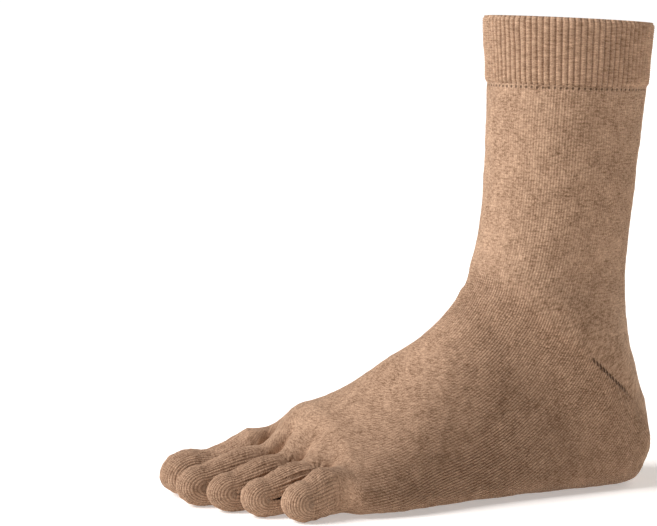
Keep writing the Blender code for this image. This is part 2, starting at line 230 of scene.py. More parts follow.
def full_ring(values, half, by_halves):
    """One closed ring of twice half points, which start at the little toe's side.

    The points are evenly spaced from the front middle, or by halves, as the toes need them.
    """
    front = half_outline(values, True)
    back = half_outline(values, False)
    outline = np.concatenate([front, back[1:]])
    arc = ring_lengths(outline)
    front_arc = arc[len(front) - 1]
    whole = arc[-1]
    number = np.arange(2 * half)
    even = front_arc / 2 + (number - half / 2) / (2 * half) * whole
    halved = np.where(number <= half, number / half * front_arc,
                      front_arc + (number - half) / half * (whole - front_arc))
    wanted = (even * (1 - by_halves) + halved * by_halves) % whole
    return np.stack([np.interp(wanted, arc, outline[:, axis]) for axis in range(3)], axis=1)


def toe_base(number, angle):
    """Where the toe line crosses a toe at an angle from -90 (little side) to 90 degrees (big side)."""
    low = toe_line[number]
    high = toe_line[number + 1]
    across = 0.5 + 0.5 * np.sin(angle)
    along = (low[0] + (high[0] - low[0]) * across) * foot_length
    side = (low[1] + (high[1] - low[1]) * across) * foot_width
    tops = [toe[1] * toe_thickness for toe in toes]
    neighbour = number + (1 if angle > 0 else -1)
    if not 0 <= neighbour < len(toes):
        neighbour = number
    shared = 0.5 * np.sin(angle) ** 2
    middle = toe_crease + 0.5 * (tops[number] + (tops[neighbour] - tops[number]) * shared)
    web = 0.5 * web_height
    if number == 0:
        web = web * across
    if number == len(toes) - 1:
        web = web * (1.0 - across)
    half = 0.5 * tops[number]
    lift = np.sqrt((half**2 - web**2) * np.cos(angle) ** 2 + web**2)
    return along, side, middle, lift


def toe_columns(number):
    return toes[number][-1] * points_per_wale


def toe_line_ring():
    """The scalloped front edge of the foot: one lobe above and below for each toe."""
    top = []
    bottom = []
    for number in range(len(toes)):
        columns = toe_columns(number)
        for column in range(columns + (number == len(toes) - 1)):
            along, side, middle, lift = toe_base(number, np.pi * (column / columns - 0.5))
            top.append((heel_overhang - along, side, floor_up + middle + lift))
            bottom.append((heel_overhang - along, side, floor_up + middle - lift))
    return np.array(top + bottom[1:-1][::-1])


def tube_grid():
    """Points of the whole plain tube, ring by ring, from the cuff's lower edge to the toe line."""
    table = ring_table()
    places = ring_places(table)
    gore = places[len(leg_rings) + gore_ring]
    sole = places[len(leg_rings) + sole_ring]
    where = np.concatenate([
        np.linspace(places[0], gore, leg_rows + 1),
        np.linspace(gore, sole, heel_rows + 1)[1:],
        np.linspace(sole, places[-2], foot_rows + 1)[1:],
        np.linspace(places[-2], places[-1], forefoot_rows + 1)[1:],
    ])
    halves = soft_step(sole - 0.010, places[-2] + 0.004, where)
    values = smooth_rows(table, places, where)
    rings = np.array([full_ring(row, half_columns, share) for row, share in zip(values, halves)])
    last = toe_line_ring()
    first = len(rings) - forefoot_rows - 1
    for number in range(first, len(rings)):
        share = (number - first) / forefoot_rows
        ease = share**2 * (3 - 2 * share)
        along = rings[first][:, 0] * (1 - share) + last[:, 0] * share
        rings[number] = rings[number] * (1 - ease) + last * ease
        rings[number][:, 0] = along
    return rings, where


def grid_normals(grid, closed):
    down = np.gradient(grid, axis=0)
    if closed:
        around = (np.roll(grid, -1, axis=1) - np.roll(grid, 1, axis=1)) / 2
    else:
        around = np.gradient(grid, axis=1)
    return unit(np.cross(around, down))


def column_lengths(grid):
    """Length along every column from the first row."""
    steps = np.linalg.norm(np.diff(grid, axis=0), axis=2)
    return np.concatenate([np.zeros((1, grid.shape[1])), np.cumsum(steps, axis=0)])


def crotch_points():
    """The top of each crotch between two toes."""
    found = []
    for number in range(1, len(toes)):
        along, side, middle, lift = toe_base(number, -np.pi / 2)
        found.append(np.array([heel_overhang - along, side, floor_up + middle + lift]))
    return found


def gathers(points):
    """Height of the small folds that fan out from the crotches, and the painted shade in the crease there and
    in the hollows of the folds.
    """
    fold = np.zeros(points.shape[:-1])
    shade = np.zeros(points.shape[:-1])
    for number, crotch in enumerate(crotch_points()):
        away = points - crotch
        reach = np.linalg.norm(away, axis=-1)
        turn = np.arctan2(away[..., 1], away[..., 0])
        fan = np.cos(turn * 11 + number * 1.7)
        fold = fold + gather_fold * fan * np.exp(-(reach / 0.0085) ** 2) * soft_step(0.0, 0.004, reach)
        shade = shade + np.exp(-(reach / 0.0042) ** 2)
        shade = shade + 0.35 * np.exp(-(reach / 0.010) ** 2) * (0.5 - 0.5 * fan)
    return fold, np.clip(shade, 0.0, 1.0)


def make_mesh(name, points, normals, faces, maps, masks):
    """A piece from points and quads, with its knit map and its masks."""
    mesh = bpy.data.meshes.new(name)
    mesh.vertices.add(len(points))
    mesh.vertices.foreach_set("co", points.astype(np.float32).ravel())
    mesh.loops.add(faces.size)
    mesh.loops.foreach_set("vertex_index", faces.astype(np.int32).ravel())
    mesh.polygons.add(len(faces))
    mesh.polygons.foreach_set("loop_start", np.arange(0, faces.size, 4, dtype=np.int32))
    mesh.update(calc_edges=True)
    mesh.validate()
    layer = mesh.uv_layers.new(name="knit")
    layer.data.foreach_set("uv", maps.astype(np.float32).ravel())
    for title, values in masks.items():
        attribute = mesh.attributes.new(title, "FLOAT", "POINT")
        attribute.data.foreach_set("value", values.astype(np.float32).ravel())
    mesh.shade_smooth()
    mesh.normals_split_custom_set_from_vertices([tuple(normal) for normal in normals])
    piece = bpy.data.objects.new(name, mesh)
    bpy.context.scene.collection.objects.link(piece)
    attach(piece, "root")
    return piece


def grid_faces(rows, columns, width, start=0):
    """Quads over a grid of points whose rows are width points long, facing out."""
    row, column = np.meshgrid(np.arange(rows), np.arange(columns), indexing="ij")
    after = (column + 1) % width
    quads = np.stack([row * width + column, row * width + after,
                      (row + 1) * width + after, (row + 1) * width + column], axis=-1)
    return quads.reshape(-1, 4) + start


def knit_map(wale, course, rows, columns):
    """Map coordinates of each quad's four corners from the wale and course of the grid points."""
    row, column = np.meshgrid(np.arange(rows), np.arange(columns), indexing="ij")
    corners = []
    for down, right in ((0, 0), (0, 1), (1, 1), (1, 0)):
        corners.append(np.stack([wale[row + down, column + right],
                                 course[row + down, column + right]], axis=-1))
    return np.stack(corners, axis=2).reshape(-1, 2)


def add_inner_skin(points, normals, faces, maps, masks, grid, outward, wale, course, depth, every, top_rim):
    """A plainer skin inside an outer closed grid, joined to it along the first row if it has a rim there."""
    rows = np.unique(np.append(np.arange(0, grid.shape[0], every), grid.shape[0] - 1))
    inner = grid[rows] - depth * outward[rows]
    width = grid.shape[1]
    start = len(points)
    skin = grid_faces(len(rows) - 1, width, width)[:, ::-1] + start
    inner_wale = wale[rows]
    inner_course = course[rows]
    skin_map = knit_map(inner_wale, inner_course, len(rows) - 1, width)
    skin_map = skin_map.reshape(-1, 4, 2)[:, ::-1].reshape(-1, 2)
    points = np.concatenate([points, inner.reshape(-1, 3)])
    normals = np.concatenate([normals, -outward[rows].reshape(-1, 3)])
    faces = np.concatenate([faces, skin])
    maps = np.concatenate([maps, skin_map])
    for title in masks:
        masks[title] = np.concatenate([masks[title].ravel(), np.zeros(inner.shape[0] * inner.shape[1])])
    if top_rim:
        column = np.arange(width)
        after = (column + 1) % width
        rim = np.stack([start + column, start + after, after, column], axis=-1)
        rim_map = np.stack([wale[0, :-1], wale[0, 1:], wale[0, 1:], wale[0, :-1]], axis=-1).ravel()
        rim_map = np.stack([rim_map, np.zeros_like(rim_map)], axis=-1)
        faces = np.concatenate([faces, rim])
        maps = np.concatenate([maps, rim_map])
    return points, normals, faces, maps


def wale_ridge(wale):
    """Cross-section of the wales, from -1 in the groove to 1 on the ridge."""
    return -np.cos(2 * np.pi * wale)


def wale_numbers(grid, pitch):
    """Wales counted from the front middle, at the left and the right corner of every cell of the tube."""
    steps = np.linalg.norm(np.roll(grid, -1, axis=1) - grid, axis=2)
    middle = half_columns // 2
    back = middle + half_columns
    turned = np.roll(steps, -back, axis=1)
    along = np.concatenate([np.zeros((grid.shape[0], 1)), np.cumsum(turned, axis=1)], axis=1)
    along = along - along[:, half_columns:half_columns + 1]
    left = np.roll(along[:, :-1], back, axis=1) / pitch[:, None]
    right = np.roll(along[:, 1:], back, axis=1) / pitch[:, None]
    return left, right


def course_numbers(grid):
    """Courses counted down from the first row, square to the rows."""
    down = np.diff(grid, axis=0)
    around = unit(np.roll(grid, -1, axis=1) - np.roll(grid, 1, axis=1))[:-1]
    down = down - np.sum(down * around, axis=2, keepdims=True) * around
    steps = np.linalg.norm(down, axis=2)
    return np.concatenate([np.zeros((1, grid.shape[1])), np.cumsum(steps, axis=0)]) / course_height


def cut_piece(keep, surface, normals, left, right, course, masks):
    """Points, normals, faces, map and masks of the kept cells of the tube."""
    columns = surface.shape[1]
    row, column = np.nonzero(keep)
    after = (column + 1) % columns
    corners = np.stack([row * columns + column, row * columns + after,
                        (row + 1) * columns + after, (row + 1) * columns + column], axis=-1)
    maps = np.stack([
        np.stack([left[row, column], course[row, column]], axis=-1),
        np.stack([right[row, column], course[row, after]], axis=-1),
        np.stack([right[row + 1, column], course[row + 1, after]], axis=-1),
        np.stack([left[row + 1, column], course[row + 1, column]], axis=-1)], axis=1).reshape(-1, 2)
    used, faces = np.unique(corners, return_inverse=True)
    faces = faces.reshape(-1, 4)
    picked = {title: np.ascontiguousarray(values).reshape(-1)[used] for title, values in masks.items()}
    return surface.reshape(-1, 3)[used], normals.reshape(-1, 3)[used], faces, maps, picked


def build_tube():
    """The plain knit of the leg, the heel and the foot, and what the toes need of its front edge."""
    grid, where = tube_grid()
    outward = grid_normals(grid, True)
    lengths = column_lengths(grid)
    rows, columns = grid.shape[:2]
    number = np.arange(columns)
    front = number <= half_columns
    crown = np.abs(np.sin(np.pi * number / half_columns))
    gore_row = leg_rows
    sole_row = leg_rows + heel_rows
    ball_row = sole_row + foot_rows
    around = np.linalg.norm(np.roll(grid, -1, axis=1) - grid, axis=2).sum(axis=1)
    ankle_row = int(np.argmin(around[:gore_row]))
    pitch = around / (2 * half_wales)
    pitch[ankle_row:] = pitch[ankle_row]
    left, right = wale_numbers(grid, pitch)
    course = course_numbers(grid)

    # Where the wales stand out: not on the top of the forefoot, not at the back above the gore
    place = where[:, None]
    top_smooth = soft_step(where[sole_row] - 0.01, where[sole_row] + 0.05, place) * (front * crown**0.8)
    back_smooth = soft_step(where[gore_row] - 0.050, where[gore_row] - 0.012, place)
    back_smooth = back_smooth * (1 - soft_step(where[gore_row] - 0.001, where[gore_row] + 0.002, place))
    back_smooth = back_smooth * (~front) * crown**0.5
    toe_smooth = soft_step(where[ball_row] - 0.012, where[ball_row] + 0.012, place)
    shin_smooth = np.exp(-((number - half_columns / 2) / (half_columns * 0.26)) ** 2)
    shin_smooth = shin_smooth * (1 - soft_step(where[gore_row] - 0.05, where[gore_row] - 0.01, place))
    relief = (1 - 0.85 * top_smooth) * (1 - 0.8 * back_smooth)
    relief = relief * (1 - 0.7 * toe_smooth) * (1 - 0.5 * shin_smooth)
    strong = soft_step(where[gore_row] - 0.03, where[gore_row] + 0.005, place)
    relief = relief * (0.75 + 0.45 * strong)

    fold, painted_crease_shade = gathers(grid)
    lumps = 0.00008 * soft_noise(grid, 0.006, 5) + 0.00022 * soft_noise(grid, 0.024, 6)
    ends = soft_step(0.0, 0.004, place - where[0])
    height = leg_relief * wale_ridge(left) * relief + fold + lumps * ends
    surface = grid + outward * height[..., None]
    normals = grid_normals(surface, True)

    # How far each point lies from the gore line, along it and across it
    ring = grid[gore_row]
    ring_arc = ring_lengths(ring)
    goal = np.array(gore_middle)
    centre = half_columns + np.argmin(np.linalg.norm(ring[half_columns:] - goal, axis=1))
    mirrored = 3 * half_columns - centre
    from_little = ring_arc - ring_arc[centre]
    from_big = ring_arc[mirrored] - ring_arc
    gore_along = np.where(np.abs(from_little) < np.abs(from_big), from_little, from_big)
    gore_along = np.broadcast_to(gore_along, (rows, columns)) * 1000
    gore_across = (course - course[gore_row]) * course_height * 1000
    # painted_crease_shade is painted shade at the crotches of the toes; it also fades the stitches there
    masks = {"relief": relief * (1 - painted_crease_shade), "painted_crease_shade": painted_crease_shade,
             "gore_along": gore_along, "gore_across": gore_across,
             "cuff_below": lengths * 1000}

    keep = np.zeros((rows - 1, columns), dtype=bool)
    keep[:gore_row] = True
    points, normal, faces, maps, mask = cut_piece(keep, surface, normals, left, right, course, masks)
    wale = np.concatenate([left, right[:, -1:]], axis=1)[:gore_row + 1]
    wide_course = np.concatenate([course, course[:, :1]], axis=1)[:gore_row + 1]
    points, normal, faces, maps = add_inner_skin(
        points, normal, faces, maps, mask, grid[:gore_row + 1], outward[:gore_row + 1],
        wale, wide_course, knit_wall, 8, False)
    leg = make_mesh("leg_knit", points, normal, faces, maps, mask)
    keep[:] = False
    keep[gore_row:sole_row, half_columns:] = True
    heel = make_mesh("heel_knit", *cut_piece(keep, surface, normals, left, right, course, masks))
    keep[:] = False
    keep[gore_row:sole_row, :half_columns] = True
    keep[sole_row:] = True
    foot = cut_piece(keep, surface, normals, left, right, course, masks)
    return leg, heel, foot, surface, course[-1].mean()


def build_toe(number, surface, course_start):
    """One toe pocket: its wales run along the top, round the tip and back along the sole."""
    tip_along, tip_side, tip_reach, tip_half, tip_thick, nose, knuckle, wales = toes[number][2:]
    thick = tip_thick * toe_thickness
    tip = np.array([heel_overhang - tip_along * foot_length, tip_side * foot_width, floor_up + nose * thick])
    reach = tip_reach * toe_width
    half = tip_half * toe_width
    rises = {1.0: (1.0 - nose) * thick, -1.0: nose * thick}
    base = 0.5 * (np.array(toe_line[number]) + np.array(toe_line[number + 1]))
    ahead = unit(np.array([tip[0] - (heel_overhang - base[0] * foot_length),
                           tip[1] - base[1] * foot_width, 0.0]))
    sideways = np.array([ahead[1], -ahead[0], 0.0])
    up = np.array([0.0, 0.0, 1.0])
    count = toe_columns(number)
    columns = int(count * toe_fine)
    first = sum(toe_columns(earlier) for earlier in range(number))
    total = surface.shape[1]
    grid = []
    for column in range(columns + 1):
        angle = np.pi * (column / columns - 0.5)
        across = np.sign(np.sin(angle)) * abs(np.sin(angle)) ** toe_round
        lift = max(np.cos(angle), 0.0) ** toe_round
        beside = first + column / toe_fine
        stretches = {}
        for sign, index in ((1.0, beside), (-1.0, total - beside)):
            low = int(np.floor(index + 1e-9))
            part = index - low
            edge = surface[:, low % total] * (1 - part) + surface[:, (low + 1) % total] * part
            start = edge[-1]
            lead = unit(edge[-1] - edge[-4])
            end = tip + sideways * half * across + up * sign * rises[sign] * lift
            span = np.linalg.norm(end - start)
            t = (np.arange(toe_side_rows) / toe_side_rows)[:, None]
            line = start + (end - start) * t
            lead_pull = (t**3 - 2 * t**2 + t) * (lead * span - (end - start)) * 0.7
            end_pull = (t**3 - t**2) * (ahead * span - (end - start)) * 0.5
            bow = 4 * t * (1 - t) * knuckle * toe_thickness * lift * (sign > 0)
            swell = 4 * t * (1 - t) * toe_swell * across
            stretches[sign] = line + lead_pull + end_pull + up * bow + sideways * swell
        turn = np.pi * (0.5 - np.arange(toe_tip_rows + 1) / toe_tip_rows)[:, None]
        rise = np.where(turn >= 0, rises[1.0], rises[-1.0])
        dome = (tip + sideways * half * across + up * rise * lift * np.sin(turn)
                + ahead * reach * lift * np.cos(turn))
        grid.append(np.concatenate([stretches[1.0], dome, stretches[-1.0][::-1]]))
    grid = np.array(grid).transpose(1, 0, 2)
    outward = grid_normals(grid, False)
    outward[:, 0] = -sideways
    outward[:, -1] = sideways
    rows = grid.shape[0]
    wale = np.arange(columns + 1) / columns * round(toes[number][-1] * toe_wales)
    wale = np.broadcast_to(wale, (rows, columns + 1))
    lengths = column_lengths(grid)
    middle = lengths[:, columns // 2]
    course = np.broadcast_to((course_start + middle / course_height)[:, None], wale.shape)
    fold, painted_crease_shade = gathers(grid)
    start_ease = soft_step(0, 9, np.minimum(np.arange(rows), rows - 1 - np.arange(rows)))[:, None]
    side_ease = np.cos(np.pi * (np.arange(columns + 1) / columns - 0.5))[None, :] ** 0.4
    height = toe_relief * wale_ridge(wale) * start_ease * side_ease
    height = height + (fold + 0.00016 * soft_noise(grid, 0.005, 11 + number)) * start_ease * side_ease
    shaped = grid + outward * height[..., None]
    normals = grid_normals(shaped, False)
    normals[:, 0] = -sideways
    normals[:, -1] = sideways
    # Painted shade: the crotch creases, and the sides of the toe that face its neighbours, darkened more
    # towards the sides
    dark = np.clip(painted_crease_shade + 0.25 * (1 - side_ease) ** 3, 0.0, 1.0)
    masks = {"relief": (1.0 - painted_crease_shade) * (0.35 + 0.65 * start_ease), "painted_crease_shade": dark,
             "gore_along": np.full(wale.shape, far_off), "gore_across": np.full(wale.shape, far_off),
             "cuff_below": np.full(wale.shape, far_off)}
    return shaped, normals, wale, course, masks


def build_foot_and_toes(foot_cut, surface, course_start):
    """The foot and its toes, with one shared normal along the line where they meet."""
    foot_points, foot_normals, faces, maps, masks = foot_cut
    columns = surface.shape[1]
    last_row = len(foot_points) - columns
    pieces = []
    first = 0
    for number, toe in enumerate(toes):
        shaped, toe_normals, wale, course, toe_masks = build_toe(number, surface, course_start)
        count = toe_columns(number)
        above = first + np.arange(count + 1)
        below = (columns - above) % columns
        matching = np.arange(count + 1) * toe_fine
        spread = np.arange(toe_normals.shape[1])
        for row, picks in ((0, above), (-1, below)):
            own = np.stack([np.interp(matching, spread, toe_normals[row][:, axis])
                            for axis in range(3)], axis=1)
            shared = unit(own[1:-1] + foot_normals[last_row + picks[1:-1]])
            foot_normals[last_row + picks[1:-1]] = shared
            fine = np.stack([np.interp(spread[2:-2], matching[1:-1], shared[:, axis])
                             for axis in range(3)], axis=1)
            toe_normals[row][2:-2] = unit(fine)
        rows, width = shaped.shape[:2]
        toe_faces = grid_faces(rows - 1, width - 1, width)
        toe_maps = knit_map(wale, course, rows - 1, width - 1)
        piece = make_mesh(toe[0] + "_knit", shaped.reshape(-1, 3), toe_normals.reshape(-1, 3),
                          toe_faces, toe_maps, toe_masks)
        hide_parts(toe[0])
        pieces.append(piece)
        first += count
    foot = make_mesh("foot_knit", foot_points, foot_normals, faces, maps, masks)
    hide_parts("foot")
    return foot, pieces


def build_cuff():
    """The ribbed cuff: rounded ribs of chevron stitches, deep grooves and a rolled top edge."""
    half = rib_count // 2 * points_per_rib
    low = np.array(oval_ring(leg_rings[0], ankle_height, leg_length))
    high = np.array(oval_ring(cuff_top, ankle_height + leg_length, cuff_height))
    levels = np.linspace(1.0, 0.0, cuff_rows + 1)
    grid = np.array([full_ring(low + (high - low) * level, half, 0.0) for level in levels])
    outward = grid_normals(grid, True)
    columns = grid.shape[1]
    rows = grid.shape[0]
    rib = np.arange(columns + 1) / points_per_rib
    rib = np.broadcast_to(rib, (rows, columns + 1))
    lengths = column_lengths(grid)
    course = np.broadcast_to(lengths.mean(axis=1)[:, None] / course_height, rib.shape)
    beside = np.abs((rib[:, :columns] % 1.0) - 0.5) * 2.0
    body = 1.0 - 2.0 * soft_step(0.30, 1.0, beside)
    chevron = np.cos(2 * np.pi * (course[:, :columns] - 0.75 * beside)) * (1 - soft_step(0.55, 0.85, beside))
    split = -0.35 * np.exp(-(beside / 0.12) ** 2)
    top_roll = np.exp(-(lengths / 0.0011) ** 2) * 0.0011
    foot_roll = np.exp(-((lengths[-1] - lengths) / 0.0010) ** 2) * 0.0007
    lumps = 0.00018 * soft_noise(grid, 0.014, 3) + 0.00005 * soft_noise(grid, 0.003, 4)
    height = cuff_step + rib_relief * body + rib_stitch * (chevron + split) - top_roll - foot_roll + lumps
    surface = grid + outward * height[..., None]
    normals = grid_normals(surface, True)
    masks = {"relief": np.ones((rows, columns)), "painted_crease_shade": np.zeros((rows, columns)),
             "gore_along": np.full((rows, columns), far_off),
             "gore_across": np.full((rows, columns), far_off),
             "cuff_below": np.full((rows, columns), far_off)}
    masks = {title: values.ravel() for title, values in masks.items()}
    faces = grid_faces(rows - 1, columns, columns)
    maps = knit_map(rib, course, rows - 1, columns)
    points, normal, faces, maps = add_inner_skin(
        surface.reshape(-1, 3), normals.reshape(-1, 3), faces, maps, masks,
        grid + outward * (0.25 * rib_relief * body)[..., None], outward, rib, course,
        cuff_wall - cuff_step, 12, True)
    piece = make_mesh("cuff_knit", points, normal, faces, maps, masks)
    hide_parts("cuff")
    return piece


class NodeChain:
    """Short calls that add shader nodes to a tree and link them."""

    def __init__(self, tree):
        self.tree = tree

    def add(self, kind, **settings):
        node = self.tree.nodes.new(kind)
        for name, value in settings.items():
            setattr(node, name, value)
        return node

    def feed(self, socket, value):
        if isinstance(value, bpy.types.NodeSocket):
            self.tree.links.new(value, socket)
        else:
            socket.default_value = value

    def math(self, operation, *values, clamp=False):
        node = self.add("ShaderNodeMath", operation=operation, use_clamp=clamp)
        for socket, value in zip(node.inputs, values):
            self.feed(socket, value)
        return node.outputs[0]

    def ramp(self, value, low, high, to_low=0.0, to_high=1.0):
        node = self.add("ShaderNodeMapRange", interpolation_type="SMOOTHSTEP")
        for name, number in (("Value", value), ("From Min", low), ("From Max", high),
                             ("To Min", to_low), ("To Max", to_high)):
            self.feed(node.inputs[name], number)
        return node.outputs[0]

    def mix_colour(self, share, first, second, blend="MIX"):
        node = self.add("ShaderNodeMix", data_type="RGBA", blend_type=blend)
        self.feed(node.inputs[0], share)
        self.feed(node.inputs[6], first)
        self.feed(node.inputs[7], second)
        return node.outputs[2]

    def noise(self, vector, scale, detail=2.0, roughness=0.5):
        node = self.add("ShaderNodeTexNoise")
        self.feed(node.inputs["Vector"], vector)
        node.inputs["Scale"].default_value = scale
        node.inputs["Detail"].default_value = detail
        node.inputs["Roughness"].default_value = roughness
        return node.outputs["Fac"]


def new_group(name, inputs, outputs):
    """An empty node group with named sockets, its chain, and the nodes of its inputs and outputs."""
    tree = bpy.data.node_groups.new(name, "ShaderNodeTree")
    for title, kind, value in inputs:
        socket = tree.interface.new_socket(title, in_out="INPUT", socket_type=kind)
        if value is not None:
            socket.default_value = value
    for title, kind in outputs:
        tree.interface.new_socket(title, in_out="OUTPUT", socket_type=kind)
    chain = NodeChain(tree)
    return tree, chain, chain.add("NodeGroupInput").outputs, chain.add("NodeGroupOutput").inputs


def yarn_group():
    """Heather yarn: flecks of lighter and darker fibre in each stitch, and slow changes over the cloth."""
    tree, chain, given, result = new_group(
        "heather_yarn",
        [("Knit", "NodeSocketVector", None), ("Place", "NodeSocketVector", None),
         ("Colour", "NodeSocketColor", (0.5, 0.33, 0.22, 1)), ("Flecks", "NodeSocketFloat", 1.0),
         ("Mottle", "NodeSocketFloat", 1.0)],
        [("Colour", "NodeSocketColor"), ("Fleck", "NodeSocketFloat")])
    stretch = chain.add("ShaderNodeVectorMath", operation="MULTIPLY")
    chain.feed(stretch.inputs[0], given["Knit"])
    stretch.inputs[1].default_value = (0.5, 1.0, 1.0)
    stitch = chain.noise(stretch.outputs[0], 1.15, 2.0, 0.6)
    fibre = chain.noise(given["Place"], 1400.0, 3.0, 0.65)
    cloud = chain.noise(given["Place"], 150.0, 3.0, 0.6)
    drift = chain.noise(given["Place"], 28.0, 2.0, 0.5)
    fleck = chain.math("ADD", chain.math("SUBTRACT", stitch, 0.5),
                       chain.math("MULTIPLY", chain.math("SUBTRACT", fibre, 0.5), 0.9))
    mottle = chain.math("ADD", chain.math("MULTIPLY", chain.math("SUBTRACT", cloud, 0.5), 0.55),
                        chain.math("MULTIPLY", chain.math("SUBTRACT", drift, 0.5), 0.30))
    total = chain.math("ADD", chain.math("MULTIPLY", fleck, given["Flecks"]),
                       chain.math("MULTIPLY", mottle, given["Mottle"]))
    light = chain.mix_colour(1.0, given["Colour"], (1.55, 1.62, 1.70, 1), "MULTIPLY")
    dark = chain.mix_colour(1.0, given["Colour"], (0.46, 0.40, 0.35, 1), "MULTIPLY")
    share = chain.math("ADD", chain.math("MULTIPLY", total, 1.5), 0.5, clamp=True)
    chain.feed(result["Colour"], chain.mix_colour(share, dark, light))
    chain.feed(result["Fleck"], total)
    return tree


def stitch_group():
    """Plain knit: two slanting legs to each stitch, a narrow valley between them and a groove beside."""
    tree, chain, given, result = new_group(
        "plain_stitch",
        [("Knit", "NodeSocketVector", None), ("Relief", "NodeSocketFloat", 1.0),
         ("Slant", "NodeSocketFloat", 0.6)],
        [("Height", "NodeSocketFloat"), ("Groove", "NodeSocketFloat")])
    split = chain.add("ShaderNodeSeparateXYZ")
    chain.feed(split.inputs[0], given["Knit"])
    wobble = chain.math("MULTIPLY", chain.math("SUBTRACT", chain.noise(given["Knit"], 0.6), 0.5), 0.25)
    across = chain.math("FRACT", chain.math("ADD", split.outputs[0], wobble))
    beside = chain.math("MULTIPLY", chain.math("ABSOLUTE", chain.math("SUBTRACT", across, 0.5)), 2.0)
    slanted = chain.math("ADD", split.outputs[1], chain.math("MULTIPLY", beside, given["Slant"]))
    rung = chain.math("COSINE", chain.math("MULTIPLY", slanted, 2 * math.pi))
    leg = chain.math("SINE", chain.math("MULTIPLY", beside, math.pi))
    strand = chain.math("MULTIPLY", rung, chain.math("ADD", chain.math("MULTIPLY", leg, 0.30), 0.12))
    groove = chain.math("POWER", beside, 3.0)
    height = chain.math("SUBTRACT", strand, chain.math("MULTIPLY", groove, 0.7))
    chain.feed(result["Height"], chain.math("MULTIPLY", height, given["Relief"]))
    # Painted shade mask: darker in the groove beside each wale and on the low part of each stitch
    shade = chain.math("SUBTRACT", groove, chain.math("MULTIPLY", rung, 0.22))
    chain.feed(result["Groove"], chain.math("MULTIPLY", shade, given["Relief"], clamp=True))
    return tree


def rib_group():
    """Rib knit: raised chevron stitches with a deep groove between the ribs, and a mask of painted shade that
    darkens the groove, each rib's middle split and the low part of each stitch.
    """
    tree, chain, given, result = new_group(
        "rib_stitch",
        [("Knit", "NodeSocketVector", None)],
        [("Height", "NodeSocketFloat"), ("Groove", "NodeSocketFloat")])
    split = chain.add("ShaderNodeSeparateXYZ")
    chain.feed(split.inputs[0], given["Knit"])
    off_centre = chain.math("SUBTRACT", chain.math("FRACT", split.outputs[0]), 0.5)
    beside = chain.math("MULTIPLY", chain.math("ABSOLUTE", off_centre), 2.0)
    slanted = chain.math("SUBTRACT", split.outputs[1], chain.math("MULTIPLY", beside, 0.75))
    rung = chain.math("COSINE", chain.math("MULTIPLY", slanted, 2 * math.pi))
    groove = chain.ramp(beside, 0.62, 1.0)
    centre = chain.ramp(beside, 0.16, 0.0)
    height = chain.math("SUBTRACT", chain.math("MULTIPLY", rung, 0.4), chain.math("MULTIPLY", groove, 0.8))
    chain.feed(result["Height"], height)
    # Painted shade mask: darker in the groove, along the rib's middle split and on the low part of each
    # stitch
    shade = chain.math("ADD", groove, chain.math("MULTIPLY", centre, 0.28))
    shade = chain.math("ADD", shade, chain.math("MULTIPLY", chain.math("SUBTRACT", 0.0, rung), 0.14))
    chain.feed(result["Groove"], chain.math("ADD", shade, 0.0, clamp=True))
    return tree


def eyelet_group():
    """A row of small eyelets, with masks for the holes and for a line along the row, which the knit paints
    dark as shade: distance along and across the row in millimetres.
    """
    tree, chain, given, result = new_group(
        "eyelet_row",
        [("Along", "NodeSocketFloat", 0.0), ("Across", "NodeSocketFloat", 0.0),
         ("Pitch", "NodeSocketFloat", 2.6), ("Size", "NodeSocketFloat", 0.5),
         ("Reach", "NodeSocketFloat", 12.0), ("Fade", "NodeSocketFloat", 8.0)],
        [("Hole", "NodeSocketFloat"), ("Line", "NodeSocketFloat")])
    step = chain.math("DIVIDE", given["Along"], given["Pitch"])
    off_hole = chain.math("SUBTRACT", chain.math("FRACT", chain.math("ADD", step, 0.5)), 0.5)
    near = chain.math("MULTIPLY", off_hole, given["Pitch"])
    away = chain.math("SQRT", chain.math("ADD", chain.math("POWER", near, 2.0),
                                         chain.math("POWER", given["Across"], 2.0)))
    dot = chain.ramp(chain.math("DIVIDE", away, given["Size"]), 1.35, 0.75)
    far = chain.math("ABSOLUTE", given["Along"])
    inside = chain.ramp(chain.math("SUBTRACT", far, given["Reach"]), given["Fade"], 0.0)
    chain.feed(result["Hole"], chain.math("MULTIPLY", dot, inside))
    line = chain.ramp(chain.math("ABSOLUTE", given["Across"]), 0.9, 0.15)
    chain.feed(result["Line"], chain.math("MULTIPLY", line, inside))
    return tree


def place_group(chain, tree, **values):
    node = chain.add("ShaderNodeGroup", node_tree=tree)
    for name, value in values.items():
        chain.feed(node.inputs[name.replace("_", " ")], value)
    return node.outputs


